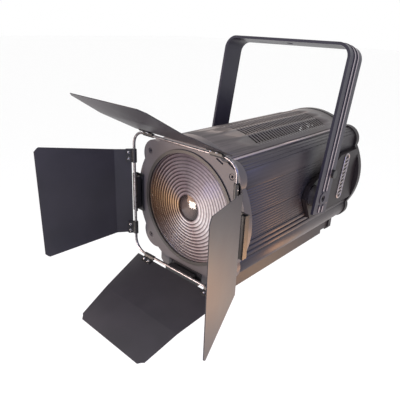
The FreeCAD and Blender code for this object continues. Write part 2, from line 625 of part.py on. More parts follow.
# ---------------------------------------------------------------- zoom carriage
rails = body("guide_rails")
pad(rails, "XZ", d.rail_front, d.rail_rear,
    [round_loop(d.rail_across * side, 0, d.rail_radius) for side in (-1, 1)])
supports = body("carriage_supports")
for start in (d.rail_front, d.rail_rear - 6):
    for side in (-1, 1):
        x0, x1 = sorted((inner_wall * side, (d.rail_across - 8) * side), key=lambda s: s.value)
        pad(supports, "XZ", start, start + 6, [box_loop(x0, x1, -9, 9)])
pocket(supports, "XZ", d.rail_front - 1, d.rail_rear + 1,
       [round_loop(d.rail_across * side, 0, d.rail_radius) for side in (-1, 1)])
pad(supports, "XZ", 96, 102, [box_loop(-15, 15, -tray_top, -48)])
pocket(supports, "XZ", 95, 103,
       [round_loop(0, -d.screw_drop, d.rail_radius + d.running_fit)])

disc_back = d.disc_face + d.disc_thick
disc = body("carriage_plate")
pad(disc, "XZ", d.disc_face, disc_back, [round_loop(0, 0, d.disc_radius)])
pocket(disc, "XZ", d.disc_face - 1, disc_back + 1,
       [round_loop(d.rail_across, 0, 7), round_loop(-d.rail_across, 0, 7),
        round_loop(0, -d.screw_drop, 10)])
bushes = body("carriage_bushes")
for side in (-1, 1):
    pad(bushes, "XZ", d.disc_face - 6, disc_back + 10,
        [round_loop(d.rail_across * side, 0, 7),
         round_loop(d.rail_across * side, 0, d.rail_radius + d.running_fit)])
nut = body("drive_nut")
pad(nut, "XZ", d.disc_face - 6, disc_back + 12,
    [round_loop(0, -d.screw_drop, 10),
     round_loop(0, -d.screw_drop, d.rail_radius + d.running_fit)])
led_board = body("led_board")
pad(led_board, "XZ", d.disc_face - 2, d.disc_face, [round_loop(0, 0, 30)])
pad(led_board, "XZ", d.disc_face - 4, d.disc_face - 2, [round_loop(0, 0, 14)])
turned("reflector", [[(d.disc_face - 2, 18), (d.disc_face - 26, d.reflector_mouth),
                      (d.disc_face - 26, d.reflector_mouth + 1.6), (d.disc_face - 2, 19.6)]])
sink = body("heat_sink")
pad(sink, "XZ", disc_back, disc_back + 8, [box_loop(-d.sink_half, d.sink_half, -d.sink_half, d.sink_half)])
fin_step = (d.sink_half * 2 - 2) / 10
fin = pad(sink, "XZ", disc_back + 7, disc_back + d.sink_depth,
          [box_loop(-d.sink_half, -d.sink_half + 2, -d.sink_half, d.sink_half)])
repeat(sink, fin, "X", fin_step, 11)

zoom_screw = body("zoom_screw")
pad(zoom_screw, "XZ", 94, rear_face + 1, [round_loop(0, -d.screw_drop, d.rail_radius)])
knob = body("zoom_knob")
pad(knob, "XZ", rear_face + 1, rear_face + d.knob_length, [round_loop(0, -d.screw_drop, d.knob_radius)])
for k in range(12):
    turn = math.pi * k / 6
    pocket(knob, "XZ", rear_face + 3, rear_face + d.knob_length + 1,
           [round_loop(d.knob_radius * math.cos(turn), d.knob_radius * math.sin(turn) - d.screw_drop,
                       2.2)])

# ---------------------------------------------------------------- electronics in the base
supply = body("power_supply")
pad(supply, "XZ", 60, 250, [box_loop(-62, 62, -d.base_bottom + wall + 0.3, -tray_top - 2)])
control = body("control_board")
pad(control, "XY", -132, -130.4, [box_loop(-60, 60, 270, 365)])
for x, y, wide, deep, tall in ((-40, 285, 30, 18, 12), (8, 290, 40, 30, 9), (-20, 330, 24, 20, 14)):
    pad(control, "XY", -131, -130.4 + tall, [box_loop(x, x + wide, y, y + deep)])
pad(control, "XY", -d.base_bottom + wall, -132,
    [round_loop(x, y, 3) for x in (-54, 54) for y in (276, 359)])

# ---------------------------------------------------------------- barndoor: rods and tabs
BARN = HEAD
straight_half = d.rod_half - d.rod_corner
bars = []
for side in (-1, 1):
    bars.append(rod("rod_level", "X", (-straight_half, 0, d.rod_half * side), d.rod_radius,
                    straight_half * 2, BARN))
    bars.append(rod("rod_upright", "Z", (d.rod_half * side, 0, -straight_half), d.rod_radius,
                    straight_half * 2, BARN))
for x, z, first in ((1, 1, 0), (-1, 1, 270), (-1, -1, 180), (1, -1, 90)):
    bend = doc.addObject("Part::Torus", "rod_bend")
    bend.setExpression("Radius1", d.rod_corner.formula)
    bend.setExpression("Radius2", d.rod_radius.formula)
    bend.Angle3 = 90
    centre = (0, head_y, head_z)
    put(bend, ((centre[0] + straight_half * x, centre[1], centre[2] + straight_half * z),
               [((0, 1, 0), first), ((1, 0, 0), 90)]))
    bars.append(bend)
fused("rod_frame", bars)

tabs = body("rod_tabs", BARN)
web = (d.rod_half - 1.2, d.rod_half + 1.2)
tab_reach = d.rod_half + d.tab_lap
flange = (d.tab_rear - d.tab_thick, d.tab_rear)
for side in (-1, 1):
    x0, x1 = sorted((web[0] * side, web[1] * side), key=lambda s: s.value)
    pad(tabs, "XY", -d.tab_half, d.tab_half, [box_loop(x0, x1, 0, d.tab_rear)])
    x0, x1 = sorted((web[0] * side, tab_reach * side), key=lambda s: s.value)
    pad(tabs, "XY", -d.tab_half, d.tab_half, [box_loop(x0, x1, *flange)])
pad(tabs, "YZ", -d.tab_half, d.tab_half, [box_loop(0, d.tab_rear, -web[1], -web[0])])
pad(tabs, "YZ", -d.tab_half, d.tab_half, [box_loop(*flange, -tab_reach, -web[0])])
pocket(tabs, "YZ", -d.tab_half - 1, d.tab_half + 1, [round_loop(0, -d.rod_half, d.rod_radius)])
for side in (-1, 1):
    pocket(tabs, "XY", -d.tab_half - 1, d.tab_half + 1,
           [round_loop(d.rod_half * side, 0, d.rod_radius)])
pad(tabs, "YZ", straight_half - 2.2, straight_half,
    [round_loop(0, d.rod_half, d.rod_radius + 1.4), round_loop(0, d.rod_half, d.rod_radius)])


# ---------------------------------------------------------------- barndoor: leaves
def leaf(name, around, opening, kind, clip_at):
    """One hinged leaf and its two clips with their screws, drawn with the rod as X axis."""
    bend = getattr(d, kind + "_bend")
    crease = getattr(d, kind + "_crease")
    length = getattr(d, kind + "_length")
    halves = [getattr(d, kind + part) for part in ("_hinge_half", "_crease_half", "_outer_half")]
    place_angle = math.radians(around)
    out = (round(math.sin(place_angle)), round(math.cos(place_angle)))
    place = ((d.rod_half * out[0], head_y, head_z + d.rod_half * out[1]),
             [((0, 1, 0), around), ((1, 0, 0), -opening)])
    panel = body("leaf_" + name, place)
    reach = length - crease
    tip = -(crease + reach * cosine(bend))
    rise = d.leaf_level + reach * sine(bend)
    over = (-(d.sheet * sine(bend)), d.sheet * cosine(bend))
    section = [(-d.leaf_start, d.leaf_level), (-crease, d.leaf_level), (tip, rise),
               (tip - over[0], rise + over[1]), (-crease - over[0] / 2, d.leaf_level + d.sheet),
               (-d.leaf_start, d.leaf_level + d.sheet)]
    widest = max(halves, key=lambda s: s.value)
    pad(panel, "YZ", -widest, widest, [section])
    end, corner = tip - 2, tip + d.leaf_chamfer
    for side in (-1, 1):
        waste = [(halves[0] * side, 2), (halves[0] * side, -d.leaf_start),
                 (halves[1] * side, -crease), (halves[2] * side, corner),
                 ((halves[2] - d.leaf_chamfer) * side, tip), ((halves[2] - d.leaf_chamfer) * side, end),
                 ((widest + 5) * side, end), ((widest + 5) * side, 2)]
        pocket(panel, "XY", -120, 120, [waste])
    clips = body("clips_" + name, place)
    wrap = rod_clear + d.clip_wall
    level = d.leaf_level
    for side in (-1, 1):
        start = clip_at * side - d.clip_length / 2
        pad(clips, "YZ", start, start + d.clip_length, [round_loop(0, 0, wrap)])
        pad(clips, "YZ", start, start + d.clip_length, [box_loop(-d.clip_tab, 0, level - 1.1, level)])
        pocket(clips, "YZ", start - 1, start + d.clip_length + 1, [round_loop(0, 0, rod_clear)])
    spots = [(clip_at * side + shift, -(d.clip_tab - 5)) for side in (-1, 1) for shift in (-6, 6)]
    under = level - 1.1
    pad(clips, "XY", under - 1.7, under, [round_loop(x, y, d.clip_screw) for x, y in spots])


leaf("left", -90, d.open_left, "side", d.side_clip)
leaf("right", 90, d.open_right, "side", d.side_clip)
leaf("top", 0, d.open_top, "top", d.top_clip)
leaf("bottom", 180, d.open_bottom, "top", d.top_clip)

# ---------------------------------------------------------------- check and write
doc.recompute()
for thing in doc.Objects:
    bad = [flag for flag in thing.State if flag in ("Invalid", "Error")]
    if bad:
        raise RuntimeError("%s is %s" % (thing.Label, bad))
for node in NODES:
    shape = node.Shape
    if shape.isNull() or not shape.isValid() or shape.Volume <= 0:
        raise RuntimeError("%s has no sound shape" % node.Label)
    shape.exportStep("parts/%s.step" % node.Label)
    box = shape.BoundBox
    print("%-22s %3d solids %10.0f mm3  x %7.1f %7.1f  y %7.1f %7.1f  z %7.1f %7.1f" % (
        node.Label, len(shape.Solids), shape.Volume, box.XMin, box.XMax, box.YMin, box.YMax,
        box.ZMin, box.ZMax))
print(len(NODES), "nodes")
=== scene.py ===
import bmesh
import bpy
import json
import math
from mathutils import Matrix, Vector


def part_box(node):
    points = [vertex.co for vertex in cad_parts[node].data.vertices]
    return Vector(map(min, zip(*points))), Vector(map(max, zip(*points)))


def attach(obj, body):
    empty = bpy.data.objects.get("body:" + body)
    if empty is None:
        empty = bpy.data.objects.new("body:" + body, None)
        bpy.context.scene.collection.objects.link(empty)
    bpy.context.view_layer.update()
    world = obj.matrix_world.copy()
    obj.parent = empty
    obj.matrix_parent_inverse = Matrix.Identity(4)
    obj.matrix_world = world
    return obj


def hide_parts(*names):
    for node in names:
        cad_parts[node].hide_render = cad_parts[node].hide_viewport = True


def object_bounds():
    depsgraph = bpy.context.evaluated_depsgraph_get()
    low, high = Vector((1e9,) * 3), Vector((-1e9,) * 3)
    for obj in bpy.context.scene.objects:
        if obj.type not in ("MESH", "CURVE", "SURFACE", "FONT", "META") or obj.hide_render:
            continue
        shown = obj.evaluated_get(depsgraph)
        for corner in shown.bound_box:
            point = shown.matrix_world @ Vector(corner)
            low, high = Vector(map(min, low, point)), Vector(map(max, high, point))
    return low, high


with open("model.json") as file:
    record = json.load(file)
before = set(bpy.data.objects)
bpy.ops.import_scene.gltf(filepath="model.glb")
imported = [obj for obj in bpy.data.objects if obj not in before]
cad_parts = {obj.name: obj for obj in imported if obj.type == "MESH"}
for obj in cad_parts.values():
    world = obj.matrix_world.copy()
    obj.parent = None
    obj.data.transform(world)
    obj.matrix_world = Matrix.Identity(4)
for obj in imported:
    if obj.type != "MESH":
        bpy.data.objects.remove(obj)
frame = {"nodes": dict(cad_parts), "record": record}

# %% [markdown]
# # A fresnel spotlight with a barndoor
# The lamp is a long housing of aluminium extrusions between two lobed plates. A ringed glass
# lens fills the front plate. Four sheet-metal leaves swing on a square frame of steel rod, and
# the whole head tilts in a U-shaped yoke.
#
# The CAD model gives every position. This file reads those positions back, builds the pieces
# that need finer shape than CAD carries, and gives each surface a finish of its own.

CAD_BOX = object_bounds()
MM = 0.001


def middle(node_name):
    """The centre of a CAD node's box."""
    low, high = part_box(node_name)
    return (Vector(low) + Vector(high)) / 2


LENS = middle("fresnel_lens")
RODS = middle("rod_frame")
PIVOT = middle("tilt_bolts")


def head(x, y, z):
    """A point of the lamp's head: millimetres from the optical axis in the plane of the rods."""
    return Vector((x * MM, RODS.y + y * MM, LENS.z + z * MM))


print("optical axis at z = %.1f mm, rods at y = %.1f mm" % (LENS.z / MM, RODS.y / MM))

# %% [markdown]
# ## Finishes
# A finish is a small network of nodes. Each one starts from what the real surface is, because
# that decides the shader's metallic and roughness values. Noise then breaks up its colour,
# roughness and height at the size the real surface has.

# %% Colours and one helper for nodes


def linear(hex_code):
    """An sRGB hex colour as the linear RGBA values that the shader works in."""
    channels = [int(hex_code[i:i + 2], 16) / 255 for i in (1, 3, 5)]
    return tuple(c / 12.92 if c <= 0.04045 else ((c + 0.055) / 1.055) ** 2.4
                 for c in channels) + (1.0,)


def add(tree, kind, values=None, links=None, stops=(), **settings):
    """Add a node: its fields, its socket values, its links, and its (place, colour) stops."""
    made = tree.nodes.new(kind)
    for field, value in settings.items():
        setattr(made, field, value)
    for socket, value in (values or {}).items():
        made.inputs[socket].default_value = value
    for socket, source in (links or {}).items():
        tree.links.new(source, made.inputs[socket])
    if stops:
        points = made.color_ramp.elements
        while len(points) < len(stops):
            points.new(0.5)
        for point, (position, colour) in zip(points, stops):
            point.position = position
            point.color = linear(colour)
    return made


def start(name, **sockets):
    """A new material: its tree, its principled shader and the object's own coordinates."""
    material = bpy.data.materials.new(name)
    material.use_nodes = True
    tree = material.node_tree
    tree.nodes.clear()
    shader = add(tree, "ShaderNodeBsdfPrincipled", values=sockets)
    add(tree, "ShaderNodeOutputMaterial", links={"Surface": shader.outputs[0]})
    place = add(tree, "ShaderNodeTexCoord").outputs["Object"]
    return material, tree, shader, place


def per_mm(size):
    """Texture scale for a pattern whose features are about this many millimetres."""
    return 1.0 / (size * MM)


def wear(tree, shader, pattern, relief, stops, roughness, spread, strength, span=(0.3, 0.7)):
    """Let one pattern tint and polish a surface while a relief sets its height."""
    tint = add(tree, "ShaderNodeValToRGB", links={"Fac": pattern}, stops=stops)
    polish = add(tree, "ShaderNodeMapRange", links={"Value": pattern},
                 values={"From Min": span[0], "From Max": span[1],
                         "To Min": roughness - spread, "To Max": roughness + spread})
    bump = add(tree, "ShaderNodeBump", links={"Height": relief},
               values={"Strength": strength, "Distance": 0.1 * MM})
    tree.links.new(tint.outputs["Color"], shader.inputs["Base Color"])
    tree.links.new(polish.outputs["Result"], shader.inputs["Roughness"])
    tree.links.new(bump.outputs["Normal"], shader.inputs["Normal"])


print("colour of a mid grey:", [round(c, 3) for c in linear("#808080")])

# %% [markdown]
# **Powder-coated metal.** Paint powder melts on the metal into a skin with a very fine orange
# peel. It isn't metallic. The peel of about 1.5 mm spreads the highlights, and handling leaves
# slightly shinier patches some centimetres wide.

# %% Powder coat


def powder_coat(name, dark, light, roughness, height, sheen, peel=1.5, patches=60):
    """Cloudy paint with an orange peel. sheen is how strongly its skin mirrors light."""
    material, tree, shader, place = start(name, Metallic=0.0, IOR=1.5)
    shader.inputs["Specular IOR Level"].default_value = sheen
    cloud = add(tree, "ShaderNodeTexNoise", values={"Scale": per_mm(patches), "Detail": 4.0},
                links={"Vector": place})
    grain = add(tree, "ShaderNodeTexNoise", values={"Scale": per_mm(peel), "Detail": 2.0},
                links={"Vector": place})
    wear(tree, shader, cloud.outputs["Fac"], grain.outputs["Fac"],
         ((0.35, dark), (0.68, light)), roughness, 0.03, height)
    return material


# One black powder coat covers all these pieces, and their base tones carry painted light and shade:
# the front plate's lighter tone is painted light, the rear plate's and the pods' darker tones are
# painted shade, and the yoke's navy cast is painted cool light.
LEAF = powder_coat("leaf_black_powder_coat", "#29272b", "#302d32", 0.42, 0.3, 0.36)
YOKE = powder_coat("yoke_powder_coat_painted_cool_light", "#25222e", "#2d2a36", 0.36, 0.3, 0.36)
FRAME = powder_coat("plate_powder_coat_painted_light", "#474345", "#504b4e", 0.46, 0.3, 0.4)
SHELL = powder_coat("shell_black_powder_coat", "#2b2527", "#332d2f", 0.42, 0.3, 0.3)
REAR = powder_coat("rear_powder_coat_painted_shade", "#211d1f", "#292426", 0.42, 0.3, 0.3)
POD = powder_coat("pod_powder_coat_painted_shade", "#1d181b", "#241f22", 0.40, 0.3, 0.22)
BRACKET = powder_coat("bracket_black_powder_coat", "#161617", "#212022", 0.45, 0.5, 0.5)
print("powder coats:", ", ".join(m.name for m in (LEAF, YOKE, FRAME, SHELL, REAR, POD, BRACKET)))

# %% [markdown]
# **Anodised extrusion.** The body is aluminium pressed through a die and anodised. The die
# leaves fine lines along the length, a fraction of a millimetre apart, which smear the
# highlights along the body. Lines that fine can't show at this distance, so these are 1.6 to
# 3 mm apart. Sawn, turned and polished metals take the same lines at other strengths.

# %% Metals with lines


def die_lines(name, dark, light, roughness, metallic, pitch=1.6, strength=0.35):
    """Metal with lines along Y, the way it left the die, the saw or the lathe."""
    material, tree, shader, place = start(name, Metallic=metallic)
    along = add(tree, "ShaderNodeMapping", values={"Scale": (1, 0.02, 1)},
                links={"Vector": place})
    lines = add(tree, "ShaderNodeTexNoise", values={"Scale": per_mm(pitch), "Detail": 3.0},
                links={"Vector": along.outputs[0]})
    wear(tree, shader, lines.outputs["Fac"], lines.outputs["Fac"],
         ((0.3, dark), (0.7, light)), roughness, 0.07, strength)
    return material


ANODISED = die_lines("black_anodised_aluminium", "#363236", "#423e42", 0.44, 0.25, 2.0, 0.05)
COVER = die_lines("satin_anodised_cover", "#454040", "#5c5555", 0.42, 0.25, 3.0, 0.15)
# Painted highlight: this bright colour on the strips of the side ribs and the yoke's ridges stands
# in for the light they catch.
PAINTED_HIGHLIGHT = die_lines("bright_strip_painted_highlight", "#857b7f", "#a3999d", 0.32, 0.5, strength=0.1)
SINK = die_lines("sawn_aluminium", "#8d8a8e", "#b3b0b4", 0.35, 1.0)
REFLECTOR = die_lines("polished_aluminium", "#cfc8c8", "#efe8e8", 0.12, 1.0, strength=0.05)
BRASS = die_lines("turned_brass", "#8f7338", "#b3924e", 0.3, 1.0)
print("metals:", ", ".join(m.name for m in (ANODISED, COVER, PAINTED_HIGHLIGHT, SINK, REFLECTOR, BRASS)))

# %% [markdown]
# **Plating, drawn rod, plastic, rubber and circuit board.** Each is the same idea at another
# scale: plating and drawn steel are bright metal with a faint mottle, moulded ABS takes the
# spark texture of its tool, and rubber is darker and duller than either.

# %% Plating, plastic, rubber and board


def mottled(name, dark, light, roughness, metallic, feature, height):
    """A surface with soft spots of about `feature` millimetres."""
    material, tree, shader, place = start(name, Metallic=metallic)
    spots = add(tree, "ShaderNodeTexNoise", values={"Scale": per_mm(feature), "Detail": 3.0},
                links={"Vector": place})
    wear(tree, shader, spots.outputs["Fac"], spots.outputs["Fac"],
         ((0.32, dark), (0.7, light)), roughness, 0.08, height, span=(0.0, 1.0))
    return material


ZINC = mottled("zinc_plated_steel", "#8f8d90", "#c9c6c8", 0.25, 1.0, 2.0, 0.2)
ROD = mottled("bright_drawn_steel", "#69676b", "#8d8b8f", 0.30, 1.0, 6.0, 0.03)
LOUVRE = mottled("satin_nickel_slats", "#7a7375", "#b3abae", 0.3, 1.0, 3.0, 0.1)
PLASTIC = mottled("moulded_black_abs", "#151516", "#212123", 0.42, 0.0, 0.8, 0.5)
RUBBER = mottled("moulded_rubber", "#101010", "#1c1b1b", 0.75, 0.0, 1.2, 0.6)
BOARD = mottled("green_solder_mask", "#143324", "#22523a", 0.35, 0.0, 4.0, 0.3)
WINDOW = mottled("smoked_acrylic_window", "#10161b", "#1d2830", 0.12, 0.0, 25.0, 0.02)
print("others:", ", ".join(m.name for m in (ZINC, ROD, LOUVRE, PLASTIC, RUBBER, BOARD, WINDOW)))

# %% [markdown]
# ** The lens** is pressed glass over a polished reflector. Every ring bends the light on its own,
# so what shows is a target of thin bright crests between darker slopes. The rings themselves are
# real geometry, made further down. Their light is painted into the glass's colour: painted
# reflections, painted highlights and painted shade, worked out from three readings: how
# far a spot is from the axis, how far across its own ring, and its turn around the axis.

# %% Where a spot lies on the lens
CORE, RINGS, RIM = 23.0, 12, 4.5
LENS_LOW, LENS_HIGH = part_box("fresnel_lens")
LENS_R = (LENS_HIGH.x - LENS_LOW.x) / 2 / MM - 0.1
RING_WIDTH = (LENS_R - RIM - CORE) / RINGS
GLASS, tree, shader, place = start("pressed_borosilicate_glass", IOR=1.5, Roughness=0.08)
off_axis = add(tree, "ShaderNodeMapping", values={"Location": -LENS}, links={"Vector": place})
flat = add(tree, "ShaderNodeVectorMath", operation="MULTIPLY", values={1: (1, 0, 1)},
           links={0: off_axis.outputs[0]})
distance = add(tree, "ShaderNodeVectorMath", operation="LENGTH", links={0: flat.outputs[0]})
ring_count = add(tree, "ShaderNodeMapRange", clamp=False,
                 links={"Value": distance.outputs["Value"]},
                 values={"From Min": CORE * MM, "From Max": (CORE + RING_WIDTH) * MM})
cycle = add(tree, "ShaderNodeMath", operation="FRACT", links={0: ring_count.outputs["Result"]})
across = add(tree, "ShaderNodeSeparateXYZ", links={"Vector": flat.outputs[0]})
turn = add(tree, "ShaderNodeMath", operation="ARCTAN2",
           links={0: across.outputs["Z"], 1: across.outputs["X"]})
clock = add(tree, "ShaderNodeMapRange", links={"Value": turn.outputs[0]},
            values={"From Min": -math.pi, "From Max": math.pi})
print("lens radius %.1f mm, rings %.2f mm wide" % (LENS_R, RING_WIDTH))

# %% [markdown]
# Round the axis, from the left by way of the bottom, the glass is painted with reflections: tan,
# bright below and to the right, and darkest at the top. Across each ring a painted highlight climbs
# from grey to white and drops to painted shade at the step. The dome in the middle is painted a
# brown grey that darkens towards its edge, as painted shade, and faint seeds run through it all.

# %% Painted reflections, highlights and shade of the glass
# A mix node's colour inputs are its sockets 6 and 7, and its colour output is socket 2.
MIX_A, MIX_B, MIX_OUT = 6, 7, 2
# Painted reflections: the colour round the axis stands in for the surroundings that the glass
# mirrors.
painted_reflection_sweep = add(tree, "ShaderNodeValToRGB", links={"Fac": clock.outputs["Result"]}, stops=(
    (0.0, "#e3c193"), (0.08, "#c9b096"), (0.18, "#ffffff"), (0.30, "#c9bcbc"), (0.42, "#ffffff"),
    (0.58, "#fff8f4"), (0.66, "#cbbfbe"), (0.76, "#857a7b"), (0.90, "#a09494"), (1.0, "#e3c193")))
# Painted highlight on each ring's crest and painted shade at its step.
painted_ring_highlights = add(tree, "ShaderNodeValToRGB", links={"Fac": cycle.outputs[0]}, stops=(
    (0.0, "#6d6567"), (0.22, "#a39b9d"), (0.5, "#f4eeee"), (0.72, "#ffffff"), (0.88, "#ffffff"),
    (0.97, "#5b5456")))
rings = add(tree, "ShaderNodeMix", data_type="RGBA", blend_type="MULTIPLY", values={0: 1.0},
            links={MIX_A: painted_reflection_sweep.outputs["Color"], MIX_B: painted_ring_highlights.outputs["Color"]})
dome_place = add(tree, "ShaderNodeMapRange", links={"Value": distance.outputs["Value"]},
                 values={"From Min": 0.0, "From Max": CORE * MM})
# Painted shade: the dome's brown grey darkens towards its edge.
dome = add(tree, "ShaderNodeValToRGB", links={"Fac": dome_place.outputs["Result"]},
           stops=((0.0, "#74665f"), (0.6, "#5a4f4c"), (0.95, "#352e2e")))
is_ring = add(tree, "ShaderNodeMath", operation="GREATER_THAN", values={1: CORE * MM},
              links={0: distance.outputs["Value"]})
tone = add(tree, "ShaderNodeMix", data_type="RGBA",
           links={0: is_ring.outputs[0], MIX_A: dome.outputs["Color"],
                  MIX_B: rings.outputs[MIX_OUT]})
seeds = add(tree, "ShaderNodeTexNoise", values={"Scale": per_mm(5), "Detail": 3.0},
            links={"Vector": place})
specks = add(tree, "ShaderNodeValToRGB", links={"Fac": seeds.outputs["Fac"]},
             stops=((0.35, "#b5aeae"), (0.65, "#ffffff")))
seeded = add(tree, "ShaderNodeMix", data_type="RGBA", blend_type="MULTIPLY", values={0: 0.35},
             links={MIX_A: tone.outputs[MIX_OUT], MIX_B: specks.outputs["Color"]})
tree.links.new(seeded.outputs[MIX_OUT], shader.inputs["Base Color"])
print("glass tone from", len(tree.nodes), "nodes")

# %% [markdown]
# The pressed face is a little wavy. Seen straight on, the glass lets a fifth of the light through
# to the reflector behind it. Seen edge on, it lets almost none through.

# %% Wave and clearness of the glass
wave = add(tree, "ShaderNodeBump", values={"Strength": 0.05, "Distance": 0.2 * MM},
           links={"Height": seeds.outputs["Fac"]})
tree.links.new(wave.outputs["Normal"], shader.inputs["Normal"])
clear = add(tree, "ShaderNodeBsdfTransparent", values={"Color": linear("#d8cccc")})
edge_on = add(tree, "ShaderNodeLayerWeight", values={"Blend": 0.45})
share = add(tree, "ShaderNodeMapRange", links={"Value": edge_on.outputs["Facing"]},
            values={"To Min": 0.80, "To Max": 0.98})
mix = add(tree, "ShaderNodeMixShader", links={"Fac": share.outputs["Result"],
                                              1: clear.outputs[0], 2: shader.outputs[0]})
outlet = [n for n in tree.nodes if n.bl_idname == "ShaderNodeOutputMaterial"][0]
tree.links.new(mix.outputs[0], outlet.inputs["Surface"])
print("glass:", GLASS.name)

# %% [markdown]
# ## Softened CAD pieces
# Real edges are never knife sharp: paint rounds them and the rounding catches light. Pieces
# whose CAD shape is right are copied, their flat facets are joined, and a small bevel is put on
# their edges. The copy then stands for the CAD piece. Edges sharper than 35 degrees stay crisp
# and get the bevel, and the rest shade smoothly.

# %% Copy, clean and bevel
CRISP = 35
SLOT = {part["node"]: part["material_slot"] for part in frame["record"]["subparts"]}
BODY = {node: body for body, nodes in frame["record"]["behaviour"]["bodies"].items()
        for node in nodes}


def dress(obj, material, body, *nodes, slot):
    """Finish a new piece: material, the body it rides on, and the CAD nodes it stands for."""
    obj.data.materials.clear()
    obj.data.materials.append(material)
    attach(obj, body)
    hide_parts(*nodes)
    return obj


def smooth_by_angle(obj, angle=CRISP):
    """Shade a mesh smoothly everywhere but across edges sharper than the angle."""
    for face in obj.data.polygons:
        face.use_smooth = True
    bm = bmesh.new()
    bm.from_mesh(obj.data)
    for edge in bm.edges:
        if len(edge.link_faces) == 2:
            edge.smooth = edge.calc_face_angle(0.0) < math.radians(angle)
    bm.to_mesh(obj.data)
    bm.free()


def bevel(obj, width, segments=2):
    """Round the crisp edges of a piece by a width in millimetres."""
    edge = obj.modifiers.new("edge", "BEVEL")
    edge.width = width * MM
    edge.segments = segments
    edge.limit_method = "ANGLE"
    edge.angle_limit = math.radians(CRISP)
    edge.harden_normals = True
    return obj


def soften(node_name, material, width):
    """A bevelled copy of a CAD node that replaces it."""
    mesh = frame["nodes"][node_name].data.copy()
    bm = bmesh.new()
    bm.from_mesh(mesh)
    bmesh.ops.remove_doubles(bm, verts=bm.verts, dist=2e-6)
    bmesh.ops.dissolve_limit(bm, angle_limit=math.radians(0.4), verts=bm.verts, edges=bm.edges)
    bm.to_mesh(mesh)
    bm.free()
    obj = bpy.data.objects.new(node_name + "_soft", mesh)
    bpy.context.scene.collection.objects.link(obj)
    smooth_by_angle(obj)
    bevel(obj, width)
    return dress(obj, material, BODY[node_name], node_name, slot=SLOT[node_name])


SOFTENED = {
    "yoke_bar": (YOKE, 0.5), "front_frame": (FRAME, 0.8), "rear_plate": (REAR, 0.8),
    "base_housing": (SHELL, 0.5), "base_end": (SHELL, 0.5),
    "side_pod_left": (POD, 0.8), "side_pod_right": (POD, 0.8),
    "lens_rings": (BRACKET, 0.4), "bracket_left": (BRACKET, 0.4),
    "bracket_right": (BRACKET, 0.4), "bracket_bottom": (BRACKET, 0.4),
    "tilt_hubs": (ANODISED, 0.5), "tilt_bolts": (BRACKET, 0.4), "plate_screws": (ANODISED, 0.3),
    "arm_thumb_screw": (PLASTIC, 0.6), "tilt_handle": (PLASTIC, 1.2), "feet": (RUBBER, 0.5),
    "zoom_knob": (PLASTIC, 0.6), "safety_eye": (BRACKET, 0.5), "fan_grille": (BRACKET, 0.2),
    "fuse_holder": (PLASTIC, 0.4), "data_sockets": (ZINC, 0.3), "power_inlet": (PLASTIC, 0.5),
    "power_outlet": (PLASTIC, 0.5), "rod_tabs": (BRACKET, 0.2),
    "menu_button_1": (PLASTIC, 0.6), "menu_button_2": (PLASTIC, 0.6),
    "menu_button_3": (PLASTIC, 0.6), "menu_button_4": (PLASTIC, 0.6),
}
for name, (material, width) in SOFTENED.items():
    soften(name, material, width)
print(len(SOFTENED), "softened pieces")

# %% [markdown]
# ## Inner pieces
# These show only through the lens, the vents and the grille, so the CAD shape stays and only
# the finish changes.

# %% Finishes for the inner pieces
INNER = {
    "base_tray": SHELL, "carriage_bushes": BRASS, "carriage_plate": SINK,
    "carriage_supports": BRACKET, "control_board": BOARD, "display_window": WINDOW,
    "drive_nut": BRASS, "fan_housing": PLASTIC, "fan_rotor": PLASTIC, "guide_rails": BRACKET,
    "heat_sink": ANODISED, "led_board": BOARD, "power_supply": SHELL, "reflector": REFLECTOR,
    "switch_board": BOARD, "zoom_screw": ROD,
}
for name, material in INNER.items():
    mesh = frame["nodes"][name].data
    mesh.materials.clear()
    mesh.materials.append(material)
print(len(INNER), "inner pieces")

# %% [markdown]
# ## Pieces made from a moving section
# Much of this lamp is a section that runs along a line: an extrusion, a bent sheet, a strap.
# One helper joins neighbouring rows of points with faces, and Solidify gives sheet its
# thickness. Another carries a ring of points along a path, which makes a round bar.

# %% Rows of points to a mesh


def grid(name, rows, closed=False, skip=()):
    """Faces between neighbouring rows of points. skip holds (row, column) cells left open."""
    bm = bmesh.new()
    verts = [[bm.verts.new(p) for p in row] for row in rows]
    for i, (a, b) in enumerate(zip(verts, verts[1:])):
        last = len(a) if closed else len(a) - 1
        for k in range(last):
            if (i, k) not in skip:
                j = (k + 1) % len(a)
                bm.faces.new((a[k], a[j], b[j], b[k]))
    loose = [v for v in bm.verts if not v.link_faces]
    bmesh.ops.delete(bm, geom=loose, context="VERTS")
    bmesh.ops.recalc_face_normals(bm, faces=bm.faces)
    mesh = bpy.data.meshes.new(name)
    bm.to_mesh(mesh)
    bm.free()
    obj = bpy.data.objects.new(name, mesh)
    bpy.context.scene.collection.objects.link(obj)
    smooth_by_angle(obj)
    return obj


def thicken(obj, amount):
    """Give a sheet its thickness in millimetres, grown behind its face."""
    solid = obj.modifiers.new("sheet", "SOLIDIFY")
    solid.thickness = amount * MM
    solid.offset = -1.0
    return obj


def tube(name, path, flat_axis, radius, closed=True, sides=14):
    """A round bar along a flat path. flat_axis is the direction square to the path's plane."""
    rows = []
    for k, point in enumerate(path):
        before = path[k - 1] if closed or k else point
        after = path[(k + 1) % len(path)] if closed or k < len(path) - 1 else point
        side = (after - before).normalized().cross(flat_axis)
        rows.append([point + (side * math.cos(math.tau * q / sides)
                              + flat_axis * math.sin(math.tau * q / sides)) * radius * MM
                     for q in range(sides)])
    return grid(name, rows + rows[:1] if closed else rows, closed=True)


def arc(cx, cz, r, first, last, steps):
    """Points of an arc in the X-Z plane, angles in degrees from +X."""
    turns = [math.radians(first + (last - first) * k / steps) for k in range(steps + 1)]
    return [(cx + r * math.cos(a), cz + r * math.sin(a)) for a in turns]


